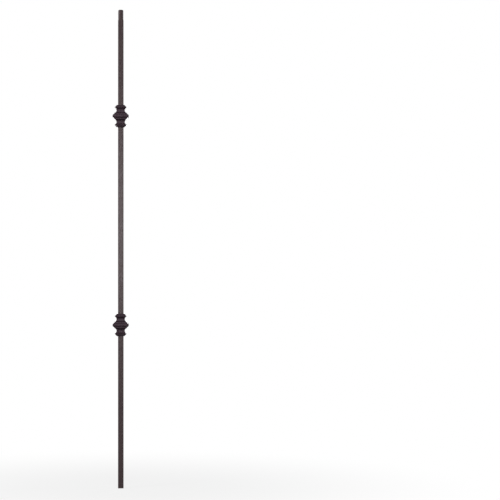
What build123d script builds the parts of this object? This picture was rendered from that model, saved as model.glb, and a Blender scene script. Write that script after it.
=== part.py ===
from build123d import *
import math
import os

# Double knuckle baluster: a square steel bar with a turned pin at its top end, and two cast
# knuckles that slide over the bar. Each knuckle is held by a set screw through its side.
# Millimetres. +Z is up, and the origin is the middle of the bar's foot.

# Bar
BAR_LENGTH = 1117.6  # foot to pin tip, 44 inches
BAR_WIDTH = 12.9  # across the flats, half-inch stock with its coat
BAR_CORNER_ROUND = 1.5
FOOT_EDGE_BREAK = 0.4

# Pin, turned from the bar's top end
PIN_DIAMETER = 12.2
PIN_LENGTH = 22.5  # tip to where the shoulder starts to widen
PIN_TIP_CHAMFER = 1.4
SHOULDER_LENGTH = 6.0  # cone from the pin out to the bar's corners

# Knuckle: one square moulding, given from the bead at its middle out to the crown at its end.
# The half widths are from the knuckle's centre line to the middle of a side.
BEAD_HALF = 18.9
BEAD_NOSE_RADIUS = 4.8
STEP_HALF = 14.85
STEP_FACE = 2.2
SCOTIA_RADIUS = 6.8
NECK_HALF = 9.55
LIP_HALF = 13.5
LIP_BAND = 1.0
CROWN_RISE = 5.4  # height of the slope from the lip to the crown
CROWN_HALF = 8.7

# Soft edges that the casting and its coat leave along the moulding
CREASE_ROUND = 0.4  # inside corner between the bead and the step
STEP_ROUND = 0.7
LIP_LOWER_ROUND = 0.6
LIP_UPPER_ROUND = 0.8
CROWN_ROUND = 0.7

# Where the knuckles sit, as heights of their middles above the foot
LOWER_KNUCKLE_HEIGHT = 381.5
UPPER_KNUCKLE_HEIGHT = 869.0

# Fit of a knuckle on the bar
BORE_CLEARANCE = 0.3  # each side, with the bar in the middle of the bore

# Set screw, size M4 with a hexagon socket
SCREW_DIAMETER = 4.0
SCREW_LENGTH = 3.0
SCREW_HOLE_CLEARANCE = 0.05  # radial
SCREW_TIP_CHAMFER = 0.4
SOCKET_ACROSS_FLATS = 2.0
SOCKET_DEPTH = 1.5

# Colours of the pieces, as red, green and blue shares
COAT_COLOUR = (0.27, 0.23, 0.26)
SCREW_COLOUR = (0.35, 0.35, 0.36)


def scotia_reach(half_width):
    """How far above or below its neck the hollow meets a face of this half width."""
    across = NECK_HALF + SCOTIA_RADIUS - half_width
    return math.sqrt(SCOTIA_RADIUS**2 - across**2)


# Bar, from the sizes above
bar_half = BAR_WIDTH / 2
bar_corner_reach = bar_half * math.sqrt(2) - BAR_CORNER_ROUND * (math.sqrt(2) - 1)
pin_radius = PIN_DIAMETER / 2
shoulder_top = BAR_LENGTH - PIN_LENGTH
shoulder_bottom = shoulder_top - SHOULDER_LENGTH

# Moulding, as heights above the knuckle's middle
nose_centre = BEAD_HALF - BEAD_NOSE_RADIUS
nose_angle = math.acos((STEP_HALF - nose_centre) / BEAD_NOSE_RADIUS)
step_bottom = BEAD_NOSE_RADIUS * math.sin(nose_angle)
step_top = step_bottom + STEP_FACE
neck_height = step_top + scotia_reach(STEP_HALF)
lip_bottom = neck_height + scotia_reach(LIP_HALF)
lip_top = lip_bottom + LIP_BAND
crown_height = lip_top + CROWN_RISE

# Fits
bore_width = BAR_WIDTH + 2 * BORE_CLEARANCE
bore_corner_round = BAR_CORNER_ROUND + BORE_CLEARANCE
screw_hole_radius = SCREW_DIAMETER / 2 + SCREW_HOLE_CLEARANCE
# The screw pulls the knuckle towards -X until the far wall of its bore lies on the bar.
knuckle_shift = -BORE_CLEARANCE


def square_bar(width, corner_round, bottom, top):
    """A square prism about the Z axis with rounded corners."""
    section = RectangleRounded(width, width, corner_round)
    return Pos(0, 0, bottom) * extrude(section, amount=top - bottom)


def turned_envelope():
    """The round outline that the lathe leaves: the full bar, the cone, the pin and its tip."""
    outside = bar_corner_reach + BAR_CORNER_ROUND
    points = [
        (0, 0),
        (outside, 0),
        (outside, shoulder_bottom),
        (bar_corner_reach, shoulder_bottom),
        (pin_radius, shoulder_top),
        (pin_radius, BAR_LENGTH - PIN_TIP_CHAMFER),
        (pin_radius - PIN_TIP_CHAMFER, BAR_LENGTH),
        (0, BAR_LENGTH),
    ]
    outline = Plane.XZ * make_face(Polyline(*points, close=True))
    return revolve(outline, Axis.Z)


def make_bar():
    """The bar and its pin in one piece, standing on its foot."""
    stock = square_bar(BAR_WIDTH, BAR_CORNER_ROUND, 0, BAR_LENGTH)
    turned = stock & turned_envelope()
    foot_edges = turned.edges().group_by(Axis.Z)[0]
    return chamfer(foot_edges, FOOT_EDGE_BREAK)


def moulding_quarter():
    """The knuckle's outline from its middle up and from its centre line out."""
    half_nose = (
        nose_centre + BEAD_NOSE_RADIUS * math.cos(nose_angle / 2),
        BEAD_NOSE_RADIUS * math.sin(nose_angle / 2),
    )
    nose = (BEAD_HALF, 0)
    crease = (STEP_HALF, step_bottom)
    step_edge = (STEP_HALF, step_top)
    neck = (NECK_HALF, neck_height)
    lip_lower = (LIP_HALF, lip_bottom)
    lip_upper = (LIP_HALF, lip_top)
    crown_edge = (CROWN_HALF, crown_height)
    outline = [
        Line((0, 0), nose),
        ThreePointArc(nose, half_nose, crease),
        Line(crease, step_edge),
        ThreePointArc(step_edge, neck, lip_lower),
        Polyline(lip_lower, lip_upper, crown_edge, (0, crown_height), (0, 0)),
    ]
    quarter = make_face(outline)
    rounds = {
        crease: CREASE_ROUND,
        step_edge: STEP_ROUND,
        lip_lower: LIP_LOWER_ROUND,
        lip_upper: LIP_UPPER_ROUND,
        crown_edge: CROWN_ROUND,
    }
    for corner, radius in rounds.items():
        vertex = quarter.vertices().sort_by_distance(corner)[0]
        quarter = fillet(vertex, radius)
    return quarter


def knuckle_blank():
    """The outside of a knuckle: the moulding run both ways, so that it mitres at the corners."""
    quarter = moulding_quarter()
    half = quarter + mirror(quarter, Plane.YZ)
    profile = Plane.XZ * (half + mirror(half, Plane.XZ))
    along_y = extrude(profile, amount=BEAD_HALF, both=True)
    along_x = Rot(0, 0, 90) * along_y
    return along_y & along_x


def make_knuckle():
    """A knuckle about its own middle, with its bore and the hole for its set screw."""
    bore = square_bar(bore_width, bore_corner_round, -crown_height, crown_height)
    from_base = (Align.CENTER, Align.CENTER, Align.MIN)
    screw_hole = Cylinder(screw_hole_radius, BEAD_HALF, align=from_base)
    screw_hole = Pos(0, 0, -neck_height) * Rot(0, -90, 0) * screw_hole
    return knuckle_blank() - bore - screw_hole


def make_set_screw():
    """A set screw along -X, with its tip at the origin."""
    from_base = (Align.CENTER, Align.CENTER, Align.MIN)
    body = Cylinder(SCREW_DIAMETER / 2, SCREW_LENGTH, align=from_base)
    tip_edge = body.edges().group_by(Axis.Z)[0]
    body = chamfer(tip_edge, SCREW_TIP_CHAMFER)
    socket_corner = SOCKET_ACROSS_FLATS / math.sqrt(3)
    socket = extrude(RegularPolygon(socket_corner, 6), amount=SOCKET_DEPTH)
    screw = body - Pos(0, 0, SCREW_LENGTH - SOCKET_DEPTH) * socket
    return Rot(0, -90, 0) * screw


def save(shape, node, colour):
    """Writes one piece under its own name."""
    shape.label = node
    shape.color = Color(*colour)
    export_step(shape, f"parts/{node}.step")


def main():
    os.makedirs("parts", exist_ok=True)
    save(make_bar(), "bar", COAT_COLOUR)
    knuckle = make_knuckle()
    screw = make_set_screw()
    heights = {"lower": LOWER_KNUCKLE_HEIGHT, "upper": UPPER_KNUCKLE_HEIGHT}
    for place, height in heights.items():
        knuckle_place = Pos(knuckle_shift, 0, height)
        save(knuckle_place * knuckle, f"{place}_knuckle", COAT_COLOUR)
        screw_place = Pos(-bar_half, 0, height - neck_height)
        save(screw_place * screw, f"{place}_set_screw", SCREW_COLOUR)


main()
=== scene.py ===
import math

import bpy
import numpy as np
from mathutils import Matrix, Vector


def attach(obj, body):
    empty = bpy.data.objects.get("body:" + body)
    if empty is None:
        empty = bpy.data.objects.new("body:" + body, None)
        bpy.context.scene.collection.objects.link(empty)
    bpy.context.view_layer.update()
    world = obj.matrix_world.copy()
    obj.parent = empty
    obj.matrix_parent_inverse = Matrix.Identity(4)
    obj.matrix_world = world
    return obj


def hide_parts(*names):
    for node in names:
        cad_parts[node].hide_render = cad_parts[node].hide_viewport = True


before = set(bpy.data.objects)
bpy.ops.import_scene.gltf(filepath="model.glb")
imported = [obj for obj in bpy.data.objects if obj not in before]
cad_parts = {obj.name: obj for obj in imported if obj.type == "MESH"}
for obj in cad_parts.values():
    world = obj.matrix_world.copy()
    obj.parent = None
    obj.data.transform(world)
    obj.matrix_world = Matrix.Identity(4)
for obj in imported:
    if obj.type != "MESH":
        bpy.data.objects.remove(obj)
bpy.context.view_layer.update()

# Sizes in millimetres, in the part's own frame: +Z up, origin in the middle of the bar's foot.
MM = 0.001

BAR_LENGTH = 1117.6
BAR_HALF = 6.45
BAR_CORNER_ROUND = 1.5
PIN_RADIUS = 6.1
PIN_LENGTH = 22.5
PIN_TIP_CHAMFER = 1.4
SHOULDER_LENGTH = 6.0

BEAD_HALF = 18.9
BEAD_NOSE_RADIUS = 4.8
STEP_HALF = 14.85
STEP_FACE = 2.2
SCOTIA_RADIUS = 6.8
NECK_HALF = 9.55
LIP_HALF = 13.5
LIP_BAND = 1.0
CROWN_RISE = 5.4
CROWN_HALF = 8.7
CREASE_ROUND = 0.4
STEP_ROUND = 0.7
LIP_LOWER_ROUND = 0.6
LIP_UPPER_ROUND = 0.8
CROWN_ROUND = 0.7
MITRE_ROUND = 0.55
BORE_EDGE_ROUND = 0.25
BORE_HALF = 6.75
BORE_CORNER_ROUND = 1.8
KNUCKLE_SHIFT = -0.3
KNUCKLES = {"lower": 381.5, "upper": 869.0}

SCREW_RADIUS = 2.0
SCREW_ROOT = 1.6
SCREW_PITCH = 0.7
SCREW_LENGTH = 3.0
SOCKET_ACROSS_FLATS = 2.0
SOCKET_DEPTH = 1.5
SCREW_HOLE_RADIUS = 2.05
HOLE_FLARE_DEPTH = 0.35  # inside the deepest point of the hollow
HOLE_FLARE_SLOPE = 0.5625  # radius gained per millimetre outwards

# Where points go along a flat side: from its middle, as shares of half its length
SIDE_SHARES = [-1, -0.985, -0.95, -0.87, -0.75, -0.6, -0.4, -0.2]
SIDE_SHARES += [0] + [-s for s in reversed(SIDE_SHARES)]
NEAR_ENDS = [0.04, 0.5, 0.96]
MITRE_STEPS = 6
BAR_CORNER_STEPS = 8

# The moulding's heights above the knuckle's middle, as in the part's source
hollow_centre = NECK_HALF + SCOTIA_RADIUS
nose_centre = BEAD_HALF - BEAD_NOSE_RADIUS
step_bottom = math.sqrt(BEAD_NOSE_RADIUS**2 - (STEP_HALF - nose_centre) ** 2)
step_top = step_bottom + STEP_FACE
neck_height = step_top + math.sqrt(SCOTIA_RADIUS**2 - (hollow_centre - STEP_HALF) ** 2)
lip_bottom = neck_height + math.sqrt(SCOTIA_RADIUS**2 - (hollow_centre - LIP_HALF) ** 2)
lip_top = lip_bottom + LIP_BAND
crown_height = lip_top + CROWN_RISE


# Mesh helpers


def arc(centre, radius, first, last, steps):
    """Points along an arc, from one angle to another, in degrees."""
    angles = np.radians(np.linspace(first, last, steps + 1))
    return [(centre[0] + radius * math.cos(a), centre[1] + radius * math.sin(a)) for a in angles]


def direction(start, end):
    """The angle of the line from start to end, in degrees."""
    return math.degrees(math.atan2(end[1] - start[1], end[0] - start[0]))


def run(start, end, shares):
    """Points inside the line from start to end, at these shares of its length."""
    return [tuple(np.array(start) * (1 - s) + np.array(end) * s) for s in shares]


def square_ring(half, corner, corner_steps):
    """A closed ring round a square with rounded corners, counter-clockwise from above."""
    points = []
    for turn in range(4):
        c, s = math.cos(turn * math.pi / 2), math.sin(turn * math.pi / 2)
        flat = [(half, t * (half - corner)) for t in SIDE_SHARES]
        bend = arc((half - corner, half - corner), corner, 0, 90, corner_steps)[1:-1]
        points += [(x * c - y * s, x * s + y * c) for x, y in flat + bend]
    return np.array(points)


def make_mesh(name, vertices, faces, sharp=None):
    """A smooth-shaded object from points in millimetres, with edges sharper than an angle kept."""
    mesh = bpy.data.meshes.new(name)
    mesh.from_pydata([tuple(np.array(v) * MM) for v in vertices], [], faces)
    mesh.validate()
    mesh.shade_smooth()
    if sharp:
        mesh.set_sharp_from_angle(angle=math.radians(sharp))
    piece = bpy.data.objects.new(name, mesh)
    bpy.context.scene.collection.objects.link(piece)
    return piece


def skin(rings, closed=False):
    """Quads between rings of equal count, in order."""
    count = len(rings[0])
    faces = []
    last = len(rings) if closed else len(rings) - 1
    for k in range(last):
        a, b = k * count, ((k + 1) % len(rings)) * count
        faces += [
            (a + i, a + (i + 1) % count, b + (i + 1) % count, b + i) for i in range(count)
        ]
    return faces


# Knuckles


def moulding():
    """The knuckle's outline as (half width, height, corner radius), from its middle up to the
    crown, in over the top and down the bore to its middle."""
    crease_h = STEP_HALF + CREASE_ROUND
    crease = (
        crease_h,
        math.sqrt((BEAD_NOSE_RADIUS + CREASE_ROUND) ** 2 - (crease_h - nose_centre) ** 2),
    )
    nose_end = direction((nose_centre, 0), crease)
    hollow = (hollow_centre, neck_height)
    step_h = STEP_HALF - STEP_ROUND
    step = (
        step_h,
        neck_height
        - math.sqrt((SCOTIA_RADIUS + STEP_ROUND) ** 2 - (hollow_centre - step_h) ** 2),
    )
    step_end = direction(step, hollow)
    lip_h = LIP_HALF - LIP_LOWER_ROUND
    lip = (
        lip_h,
        neck_height
        + math.sqrt((SCOTIA_RADIUS + LIP_LOWER_ROUND) ** 2 - (hollow_centre - lip_h) ** 2),
    )
    hollow_end = direction(hollow, lip)
    slope = math.degrees(math.atan2(LIP_HALF - CROWN_HALF, CROWN_RISE))
    upper = (
        LIP_HALF - LIP_UPPER_ROUND,
        lip_top - LIP_UPPER_ROUND * math.tan(math.radians(slope) / 2),
    )
    crown = (
        CROWN_HALF - CROWN_ROUND * math.tan(math.radians(90 - slope) / 2),
        crown_height - CROWN_ROUND,
    )
    rim = (BORE_HALF + BORE_EDGE_ROUND, crown_height - BORE_EDGE_ROUND)

    out = arc((nose_centre, 0), BEAD_NOSE_RADIUS, 0, nose_end, 14)
    out += arc(crease, CREASE_ROUND, nose_end + 180, 180, 5)[1:]
    out += run((STEP_HALF, crease[1]), (STEP_HALF, step[1]), NEAR_ENDS)
    out += arc(step, STEP_ROUND, 0, step_end, 6)
    out += arc(hollow, SCOTIA_RADIUS, step_end + 180, hollow_end, 26)[1:]
    out += arc(lip, LIP_LOWER_ROUND, hollow_end - 180, 0, 6)[1:]
    out += run((LIP_HALF, lip[1]), (LIP_HALF, upper[1]), [0.5])
    out += arc(upper, LIP_UPPER_ROUND, 0, slope, 5)
    crown_arc = arc(crown, CROWN_ROUND, slope, 90, 5)
    out += run(out[-1], crown_arc[0], [0.02, 0.2, 0.4, 0.6, 0.8, 0.98])
    out += crown_arc
    outside = [(h, z, MITRE_ROUND) for h, z in out]

    rim_arc = arc(rim, BORE_EDGE_ROUND, 90, 180, 4)
    over = run(crown_arc[-1], rim_arc[0], NEAR_ENDS)
    outside += [(h, z, MITRE_ROUND + 0.3 * (k + 1)) for k, (h, z) in enumerate(over)]
    wall = rim_arc + run(rim_arc[-1], (BORE_HALF, 0), [0.02, 0.25, 0.5, 0.75])
    inside = [(h, z, BORE_CORNER_ROUND) for h, z in wall]
    quarter = outside + inside
    lower = [(h, -z, c) for h, z, c in reversed(quarter[1:])]
    return quarter + [(BORE_HALF, 0, BORE_CORNER_ROUND)] + lower


def knuckle_points():
    """Every ring of a knuckle about its own middle. The bore's rims waver a little, as cast."""
    rings = []
    for half, height, corner in moulding():
        ring = square_ring(half, corner, MITRE_STEPS)
        near_rim = max(0.0, 1 - (crown_height - abs(height)) / 1.2)
        if half < BORE_HALF + BORE_EDGE_ROUND + 0.01 and near_rim > 0:
            angle = np.arctan2(ring[:, 1], ring[:, 0])
            waver = np.sin(7 * angle + 1) * np.sin(11 * angle) + 0.6 * np.sin(23 * angle + 2)
            ring = ring * (1 + 0.012 * near_rim * np.maximum(waver, 0))[:, None]
        rings.append(np.column_stack([ring, np.full(len(ring), height)]))
    return rings


def screw_hole_cutter(middle):
    """A drill with a flared shank, along -X through a knuckle's wall."""
    surface = KNUCKLE_SHIFT - NECK_HALF
    outside = 2.0
    wide = SCREW_HOLE_RADIUS + HOLE_FLARE_SLOPE * (HOLE_FLARE_DEPTH + outside)
    profile = [
        (surface - 14.0, wide),
        (surface - outside, wide),
        (surface + HOLE_FLARE_DEPTH, SCREW_HOLE_RADIUS),
        (-BORE_HALF + 1.0, SCREW_HOLE_RADIUS),
    ]
    count = 64
    angles = np.linspace(0, 2 * math.pi, count, endpoint=False)
    height = middle - neck_height
    rings = [
        np.column_stack([np.full(count, x), r * np.cos(angles), height + r * np.sin(angles)])
        for x, r in profile
    ]
    last = (len(rings) - 1) * count
    faces = skin(rings)
    faces += [tuple(reversed(range(count))), tuple(range(last, last + count))]
    return make_mesh("cutter", np.vstack(rings), faces)


def make_knuckle(place, middle):
    """One knuckle on the bar, with the hole for its set screw."""
    rings = knuckle_points()
    points = np.vstack(rings) + np.array([KNUCKLE_SHIFT, 0, middle])
    whole = make_mesh("whole", points, skin(rings, closed=True))
    cutter = screw_hole_cutter(middle)
    cut = whole.modifiers.new("hole", "BOOLEAN")
    cut.object = cutter
    cut.solver = "EXACT"
    bpy.context.view_layer.update()
    evaluated = whole.evaluated_get(bpy.context.evaluated_depsgraph_get())
    mesh = bpy.data.meshes.new_from_object(evaluated)
    mesh.name = f"{place}_knuckle_cast"
    mesh.shade_smooth()
    mesh.set_sharp_from_angle(angle=math.radians(32))
    bpy.data.objects.remove(whole)
    bpy.data.objects.remove(cutter)
    piece = bpy.data.objects.new(mesh.name, mesh)
    bpy.context.scene.collection.objects.link(piece)
    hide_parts(f"{place}_knuckle")
    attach(piece, "root")
    return piece


# Bar

RING_SPACING = 20
FOOT_FACE = ((1.5, 0.01), (4.5, 0.5))  # half width and corner round of the rings in the face
FOOT_EDGE = ((0.45, 0.0), (0.36, 0.05), (0.05, 0.36), (0.0, 0.5))  # inset and height
TIP_RINGS = (2.0, 1.6, 1.42, 1.25, 0.7, 0.15, 0.0)  # distances below the pin's tip
TIP_FACE = (0.7, 0.35, 0.175)  # shares of the tip's rim
NICK_HEIGHT = 918.0
NICK_DEPTH = 0.16
NICK_PLACE = (6.2, -6.1)
shoulder_top = BAR_LENGTH - PIN_LENGTH
shoulder_bottom = shoulder_top - SHOULDER_LENGTH
corner_reach = BAR_HALF * math.sqrt(2) - BAR_CORNER_ROUND * (math.sqrt(2) - 1)


def turned_radius(height):
    """The lathe's radius at a height: clear of the bar, then the cone, the pin and its tip."""
    tip = BAR_LENGTH - PIN_TIP_CHAMFER
    heights = [shoulder_bottom, shoulder_top, tip - 0.2, tip + 0.15, BAR_LENGTH - 0.15, BAR_LENGTH]
    narrow = PIN_RADIUS - PIN_TIP_CHAMFER
    radii = [corner_reach, PIN_RADIUS, PIN_RADIUS, PIN_RADIUS - 0.25, narrow + 0.1, narrow - 0.15]
    return float(np.interp(height, heights, radii, left=99.0))


def make_bar():
    """The bar with its softened foot and turned pin, and one nick on an edge."""
    section = square_ring(BAR_HALF, BAR_CORNER_ROUND, BAR_CORNER_STEPS)
    reach = np.hypot(section[:, 0], section[:, 1])
    count = len(section)
    heights = list(np.arange(RING_SPACING, shoulder_bottom - 5, RING_SPACING))
    heights += list(NICK_HEIGHT + np.arange(-1.2, 1.3, 0.1))
    heights += [FOOT_EDGE[-1][1], 3.0, shoulder_bottom - 3, shoulder_bottom - 0.3]
    # A ring at each height where the cone reaches a point of the section keeps their edge true.
    heights += [
        shoulder_bottom + (corner_reach - r) / (corner_reach - PIN_RADIUS) * SHOULDER_LENGTH
        for r in sorted(set(np.round(reach, 9)))
    ]
    heights += [shoulder_top, shoulder_top + 0.3, shoulder_top + 10]
    heights += [BAR_LENGTH - v for v in TIP_RINGS]
    heights = sorted(set(np.round(heights, 7)))

    rings = [square_ring(half, corner, BAR_CORNER_STEPS) for half, corner in FOOT_FACE]
    rings = [np.column_stack([r, np.zeros(count)]) for r in rings]
    for inset, height in FOOT_EDGE:
        flat = square_ring(BAR_HALF - inset, BAR_CORNER_ROUND - inset, BAR_CORNER_STEPS)
        rings.append(np.column_stack([flat, np.full(count, height)]))
    crease = [np.zeros(count, bool) for _ in rings]
    for height in heights[1:]:
        turned = turned_radius(height)
        radius = np.minimum(reach, turned)
        # The nick is a short dent across the front right edge.
        across = np.hypot(section[:, 0] - NICK_PLACE[0], section[:, 1] - NICK_PLACE[1])
        along = (height - NICK_HEIGHT) / 0.22
        dent = NICK_DEPTH * math.exp(-(along**2)) * np.exp(-((across / 0.55) ** 2))
        ring = section * ((radius - dent) / reach)[:, None]
        rings.append(np.column_stack([ring, np.full(count, height)]))
        crease.append(np.abs(reach - turned) < 1e-5)
    rim = rings[-1]
    for share in TIP_FACE:
        rings.append(rim * (share, share, 1))
        crease.append(np.zeros(count, bool))

    # Quads that the edge of the turned part crosses are split along it.
    faces = []
    for quad in skin(rings):
        a, b, c, d = quad
        k, j = divmod(a, count)
        follow = (j + 1) % count
        if crease[k][j] and crease[k + 1][follow]:
            faces += [(a, b, c), (a, c, d)]
        elif crease[k][follow] and crease[k + 1][j]:
            faces += [(a, b, d), (b, c, d)]
        else:
            faces.append(quad)
    total = len(rings) * count
    faces += [tuple(reversed(range(count))), tuple(range(total - count, total))]
    piece = make_mesh("bar_stock", np.vstack(rings), faces, sharp=14)
    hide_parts("bar")
    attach(piece, "root")
    return piece


# Set screws


def make_set_screw(place, middle):
    """A threaded set screw along -X, with a hexagon socket at its outer end."""
    count = 72
    angles = np.linspace(0, 2 * math.pi, count, endpoint=False)
    depth = SCREW_RADIUS - SCREW_ROOT
    rings = []

    def add(axial, radii):
        around = [radii * np.cos(angles), radii * np.sin(angles)]
        rings.append(np.column_stack([np.full(count, axial)] + around))

    for axial, radius in ((0.5, 0.02), (0.1, 0.75), (0.0, 0.9), (0.0, 1.2)):
        add(axial, radius)
    for axial in np.arange(0.05, SCREW_LENGTH, 0.05):
        phase = (axial / SCREW_PITCH - angles / (2 * math.pi)) % 1.0
        ridge = np.clip(1.25 - 2.5 * np.abs(phase - 0.5), 0, 1)
        thread = SCREW_ROOT + depth * ridge
        ends = SCREW_ROOT - 0.1 + min(axial, (SCREW_LENGTH - axial) * 1.6)
        add(axial, np.minimum(thread, ends))
    add(SCREW_LENGTH, SCREW_ROOT - 0.12)
    flat = SOCKET_ACROSS_FLATS / 2
    hexagon = flat / np.cos((angles + math.pi / 6) % (math.pi / 3) - math.pi / 6)
    add(SCREW_LENGTH, hexagon + 0.07)
    add(SCREW_LENGTH - 0.07, hexagon)
    add(SCREW_LENGTH - SOCKET_DEPTH + 0.02, hexagon)
    add(SCREW_LENGTH - SOCKET_DEPTH, hexagon * 0.97)
    add(SCREW_LENGTH - SOCKET_DEPTH, 0.02)
    faces = skin(rings)
    last = (len(rings) - 1) * count
    faces += [tuple(reversed(range(count))), tuple(range(last, last + count))]
    tip = np.array([-BAR_HALF, 0, middle - neck_height])
    points = np.vstack(rings) * np.array([-1, 1, -1]) + tip
    piece = make_mesh(f"{place}_set_screw_threaded", points, faces, sharp=30)
    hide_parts(f"{place}_set_screw")
    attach(piece, "root")
    return piece


# Materials


class Nodes:
    """A short way to write a material's nodes."""

    def __init__(self, name):
        self.material = bpy.data.materials.new(name)
        self.material.use_nodes = True
        self.tree = self.material.node_tree
        self.shader = self.tree.nodes["Principled BSDF"]
        self.place = self.add("ShaderNodeTexCoord").outputs["Object"]

    def add(self, kind, inputs=None, **settings):
        """A node with its settings, and its inputs given by name or number."""
        node = self.tree.nodes.new(kind)
        for key, value in settings.items():
            setattr(node, key, value)
        for key, value in (inputs or {}).items():
            self.feed(node.inputs[key], value)
        return node

    def feed(self, socket, value):
        """Links an output to a socket, or sets the socket's value."""
        if isinstance(value, bpy.types.NodeSocket):
            self.tree.links.new(value, socket)
        else:
            socket.default_value = value

    def noise(self, scale, detail=2.0, roughness=0.5, stretch=None, turn=(0, 0, 0), distortion=0.0):
        """Noise from 0 to 1. Scale is in cycles per metre, and stretch scales the axes."""
        place = self.place
        if stretch or any(turn):
            place = self.add(
                "ShaderNodeMapping",
                {"Vector": place, "Rotation": turn, "Scale": stretch or (1, 1, 1)},
            ).outputs[0]
        inputs = {
            "Vector": place,
            "Scale": scale,
            "Detail": detail,
            "Roughness": roughness,
            "Distortion": distortion,
        }
        return self.add("ShaderNodeTexNoise", inputs).outputs["Fac"]

    def ramp(self, value, low, high, start=0.0, end=1.0):
        """Carries low..high to start..end, held at the ends, with soft shoulders."""
        inputs = {
            "Value": value,
            "From Min": low,
            "From Max": high,
            "To Min": start,
            "To Max": end,
        }
        return self.add(
            "ShaderNodeMapRange", inputs, interpolation_type="SMOOTHSTEP", clamp=True
        ).outputs[0]

    def math(self, operation, a, b=0.0, c=0.0):
        """One arithmetic step."""
        return self.add("ShaderNodeMath", {0: a, 1: b, 2: c}, operation=operation).outputs[0]

    def mix(self, share, a, b):
        """A colour between a and b."""
        node = self.add("ShaderNodeMix", data_type="RGBA")
        self.feed(node.inputs[0], share)
        self.feed(node.inputs[6], a)
        self.feed(node.inputs[7], b)
        return node.outputs[2]

    def bump(self, heights):
        """Bumps in order, from the coarsest to the finest, as (height, depth in metres)."""
        normal = None
        for height, depth in heights:
            inputs = {"Height": height, "Distance": depth, "Strength": 1.0}
            node = self.add("ShaderNodeBump", inputs)
            if normal:
                self.feed(node.inputs["Normal"], normal)
            normal = node.outputs[0]
        self.feed(self.shader.inputs["Normal"], normal)


def rgb(red, green, blue):
    return (red, green, blue, 1.0)


TURNING_PITCH = 0.00042  # metres
PIT_CHANCE = 0.62  # the cells whose random value is above this hold a pit


def bar_coat():
    """Satin dark bronze powder coat over drawn bar: dimpled, with turning marks on the pin."""
    m = Nodes("bar_coat")
    broad = m.noise(35, 3, 0.55)
    mottle = m.noise(360, 3, 0.5, distortion=0.4)
    slant = m.noise(390, 2, 0.5, stretch=(1.0, 1.0, 0.4), turn=(0.0, 0.75, 0.0))
    fine = m.noise(1500, 2, 0.5)
    tone = m.mix(m.ramp(mottle, 0.3, 0.7), rgb(0.038, 0.0242, 0.0262), rgb(0.047, 0.0312, 0.033))
    tone = m.mix(m.ramp(broad, 0.35, 0.7, 0, 0.35), tone, rgb(0.053, 0.0375, 0.0355))
    speck = m.ramp(m.noise(900, 2, 0.5), 0.66, 0.8, 0, 0.35)
    tone = m.mix(speck, tone, rgb(0.066, 0.052, 0.051))
    m.feed(m.shader.inputs["Base Color"], tone)
    rough = m.math("ADD", m.ramp(mottle, 0.3, 0.7, 0.22, 0.29), m.ramp(broad, 0.3, 0.7, 0.0, 0.03))
    m.feed(m.shader.inputs["Roughness"], rough)
    m.shader.inputs["Specular IOR Level"].default_value = 0.15
    m.shader.inputs["Specular Tint"].default_value = rgb(1.0, 0.93, 0.95)
    separate = m.add("ShaderNodeSeparateXYZ", {"Vector": m.place})
    height = separate.outputs["Z"]
    turned = m.ramp(height, shoulder_bottom * MM, (shoulder_bottom + 2) * MM)
    lines = m.math("SINE", m.math("MULTIPLY", height, 2 * math.pi / TURNING_PITCH))
    lines = m.math("MULTIPLY", lines, turned)
    m.bump([(slant, 0.00012), (mottle, 0.00012), (lines, 0.000008), (fine, 0.000015)])
    return m.material


def knuckle_coat():
    """The same coat over a casting: smoother, with a few pits and grains under it. The pits are
    also painted darker, as painted shade in them.
    """
    m = Nodes("knuckle_coat")
    broad = m.noise(60, 3, 0.5)
    mottle = m.noise(420, 3, 0.55)
    fine = m.noise(1700, 2, 0.5)
    tone = m.mix(m.ramp(mottle, 0.3, 0.7), rgb(0.012, 0.0057, 0.0089), rgb(0.0166, 0.0081, 0.0122))
    tone = m.mix(m.ramp(broad, 0.4, 0.75, 0, 0.3), tone, rgb(0.020, 0.0109, 0.0154))
    cells = m.add("ShaderNodeTexVoronoi", {"Vector": m.place, "Scale": 240.0, "Randomness": 1.0})
    chance = m.add("ShaderNodeSeparateColor", {"Color": cells.outputs["Color"]}).outputs[0]
    chosen = m.math("GREATER_THAN", chance, PIT_CHANCE)
    size = m.ramp(chance, PIT_CHANCE, 1.0, 0.07, 0.13)
    pit_and_painted_shade = m.math("SUBTRACT", 1.0, m.math("DIVIDE", cells.outputs["Distance"], size))
    pit_and_painted_shade = m.math("MULTIPLY", m.math("MAXIMUM", pit_and_painted_shade, 0.0), chosen)
    pit_and_painted_shade = m.ramp(pit_and_painted_shade, 0.0, 0.8)
    # The pits' darker colour is painted shade in their hollows; the dent itself comes from the bump
    # below.
    tone = m.mix(m.math("MULTIPLY", pit_and_painted_shade, 0.6), tone, rgb(0.008, 0.005, 0.007))
    grain = m.ramp(m.noise(1100, 1, 0.5), 0.68, 0.8, 0, 0.3)
    tone = m.mix(grain, tone, rgb(0.045, 0.030, 0.038))
    m.feed(m.shader.inputs["Base Color"], tone)
    rough = m.math("ADD", m.ramp(mottle, 0.3, 0.7, 0.35, 0.42), m.math("MULTIPLY", pit_and_painted_shade, 0.15))
    m.feed(m.shader.inputs["Roughness"], rough)
    m.shader.inputs["Specular IOR Level"].default_value = 0.23
    m.shader.inputs["Specular Tint"].default_value = rgb(1.0, 0.81, 0.93)
    sunk = m.math("MULTIPLY", pit_and_painted_shade, -1.0)
    m.bump([(broad, 0.00025), (sunk, 0.0003), (mottle, 0.00005), (fine, 0.000025)])
    return m.material


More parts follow.
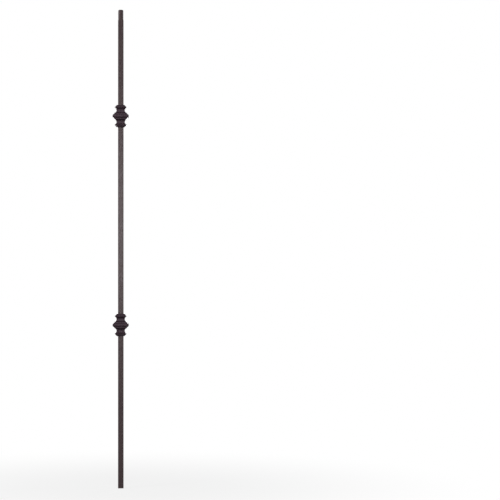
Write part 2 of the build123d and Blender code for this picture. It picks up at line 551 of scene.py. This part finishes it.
def screw_steel():
    """Black oxide on steel, worn brighter in patches."""
    m = Nodes("screw_steel")
    wear = m.noise(1400, 3, 0.6)
    fine = m.noise(6000, 2, 0.5)
    tone = m.mix(m.ramp(wear, 0.45, 0.7), rgb(0.05, 0.048, 0.047), rgb(0.15, 0.145, 0.14))
    m.feed(m.shader.inputs["Base Color"], tone)
    m.shader.inputs["Metallic"].default_value = 0.9
    m.feed(m.shader.inputs["Roughness"], m.ramp(wear, 0.3, 0.7, 0.5, 0.34))
    m.bump([(fine, 0.00001)])
    return m.material


# Studio

FLOOR_HALF = 30.0
FLOOR_WHITE_FROM = 0.1  # metres from the foot, where the share of white starts to rise
FLOOR_WHITE_TO = 0.9
FRAME_PIXELS = 500  # width of the frame that the camera's numbers are measured in
PIXELS_PER_METRE = 427.8  # at the baluster
PIXELS_TO_LEFT = 129.2  # from the frame's middle to the baluster


def white_where_seen(tree, shader, white, share):
    """Mixes a share of white into what is seen directly, in a reflection or through glass."""
    path = tree.nodes.new("ShaderNodeLightPath")
    seen = None
    for ray in ("Is Camera Ray", "Is Glossy Ray", "Is Transmission Ray"):
        output = path.outputs[ray]
        if seen is not None:
            both = tree.nodes.new("ShaderNodeMath")
            both.operation = "MAXIMUM"
            tree.links.new(seen, both.inputs[0])
            tree.links.new(output, both.inputs[1])
            output = both.outputs[0]
        seen = output
    part = tree.nodes.new("ShaderNodeMath")
    part.operation = "MULTIPLY"
    tree.links.new(seen, part.inputs[0])
    if isinstance(share, bpy.types.NodeSocket):
        tree.links.new(share, part.inputs[1])
    else:
        part.inputs[1].default_value = share
    mixer = tree.nodes.new("ShaderNodeMixShader")
    tree.links.new(part.outputs[0], mixer.inputs[0])
    tree.links.new(shader, mixer.inputs[1])
    tree.links.new(white, mixer.inputs[2])
    return mixer.outputs[0]


def make_world():
    """A dim grey room that shows as white where it is seen."""
    world = bpy.data.worlds.new("studio")
    bpy.context.scene.world = world
    world.use_nodes = True
    tree = world.node_tree
    room = tree.nodes["Background"]
    room.inputs["Color"].default_value = rgb(1, 1, 1)
    room.inputs["Strength"].default_value = 0.12
    white = tree.nodes.new("ShaderNodeBackground")
    white.inputs["Color"].default_value = rgb(1, 1, 1)
    white.inputs["Strength"].default_value = 1.0
    shader = white_where_seen(tree, room.outputs[0], white.outputs[0], 1.0)
    tree.links.new(shader, tree.nodes["World Output"].inputs["Surface"])


def make_floor():
    """A plain pale floor: white further out, and with the soft shadow near the foot."""
    mesh = bpy.data.meshes.new("floor")
    corners = [(-FLOOR_HALF, -FLOOR_HALF, 0), (FLOOR_HALF, -FLOOR_HALF, 0)]
    corners += [(FLOOR_HALF, FLOOR_HALF, 0), (-FLOOR_HALF, FLOOR_HALF, 0)]
    mesh.from_pydata(corners, [], [(0, 1, 2, 3)])
    floor = bpy.data.objects.new("floor", mesh)
    bpy.context.scene.collection.objects.link(floor)
    material = bpy.data.materials.new("floor")
    material.use_nodes = True
    tree = material.node_tree
    pale = tree.nodes["Principled BSDF"]
    pale.inputs["Base Color"].default_value = rgb(0.5, 0.5, 0.5)
    pale.inputs["Roughness"].default_value = 0.9
    pale.inputs["Specular IOR Level"].default_value = 0.0
    white = tree.nodes.new("ShaderNodeEmission")
    white.inputs["Strength"].default_value = 1.0
    place = tree.nodes.new("ShaderNodeTexCoord")
    length = tree.nodes.new("ShaderNodeVectorMath")
    length.operation = "LENGTH"
    tree.links.new(place.outputs["Object"], length.inputs[0])
    share = tree.nodes.new("ShaderNodeMapRange")
    share.interpolation_type = "SMOOTHSTEP"
    share.inputs["From Min"].default_value = FLOOR_WHITE_FROM
    share.inputs["From Max"].default_value = FLOOR_WHITE_TO
    share.inputs["To Min"].default_value = 0.8
    share.inputs["To Max"].default_value = 1.0
    tree.links.new(length.outputs["Value"], share.inputs["Value"])
    shader = white_where_seen(tree, pale.outputs[0], white.outputs[0], share.outputs[0])
    tree.links.new(shader, tree.nodes["Material Output"].inputs["Surface"])
    mesh.materials.append(material)


def lamp(name, azimuth, elevation, distance, aim, size, watts):
    """A soft box that shines at a point on the baluster's axis, azimuth 0 being the front."""
    light = bpy.data.lights.new(name, "AREA")
    light.shape = "RECTANGLE"
    light.size, light.size_y = size
    light.energy = watts
    piece = bpy.data.objects.new(name, light)
    a, e = math.radians(azimuth), math.radians(elevation)
    target = Vector((0, 0, aim))
    away = Vector((math.sin(a) * math.cos(e), -math.cos(a) * math.cos(e), math.sin(e)))
    piece.location = target + away * distance
    piece.rotation_euler = away.to_track_quat("Z", "Y").to_euler()
    piece.visible_camera = False
    bpy.context.scene.collection.objects.link(piece)


def make_camera():
    """A level camera straight in front and far away, as in the photograph, and turned aside so
    that the baluster is at the left of its frame."""
    distance = 4.5
    height = 0.5565
    swing = math.asin(PIXELS_TO_LEFT / (PIXELS_PER_METRE * distance))
    focal = PIXELS_PER_METRE * distance * math.cos(swing)
    camera = bpy.data.cameras.new("camera")
    camera.sensor_width = 36.0
    camera.sensor_fit = "HORIZONTAL"
    camera.lens = focal / FRAME_PIXELS * camera.sensor_width
    piece = bpy.data.objects.new("camera", camera)
    piece.location = (0, -distance, height)
    piece.rotation_euler = (math.pi / 2, 0, -swing)
    bpy.context.scene.collection.objects.link(piece)
    bpy.context.scene.camera = piece


def main():
    bpy.context.scene.view_settings.view_transform = "Standard"
    coats = {"bar": bar_coat(), "knuckle": knuckle_coat(), "screw": screw_steel()}
    make_bar().data.materials.append(coats["bar"])
    for place, middle in KNUCKLES.items():
        knuckle = make_knuckle(place, middle)
        knuckle.data.materials.clear()
        knuckle.data.materials.append(coats["knuckle"])
        make_set_screw(place, middle).data.materials.append(coats["screw"])
    make_floor()
    make_world()
    # The level box gives the bar its lighter middle, and the high one lights upper faces.
    # The others light the sides and the back, and round off the edges in front.
    lamp("front_level", 0, 0, 2.6, 0.66, (0.6, 0.5), 16)
    lamp("front_high", 0, 51, 2.4, 0.6, (0.9, 1.2), 17)
    lamp("left", -58, 14, 2.4, 0.6, (0.9, 1.6), 38)
    lamp("right", 88, 10, 2.4, 0.6, (0.9, 1.6), 20)
    lamp("back_left", 215, 30, 2.8, 0.6, (1.0, 1.4), 14)
    lamp("back_right", 145, 30, 2.8, 0.6, (1.0, 1.4), 14)
    lamp("back_level", 180, 2, 2.6, 0.58, (0.6, 0.9), 14)
    make_camera()


main()
bpy.context.view_layer.update()
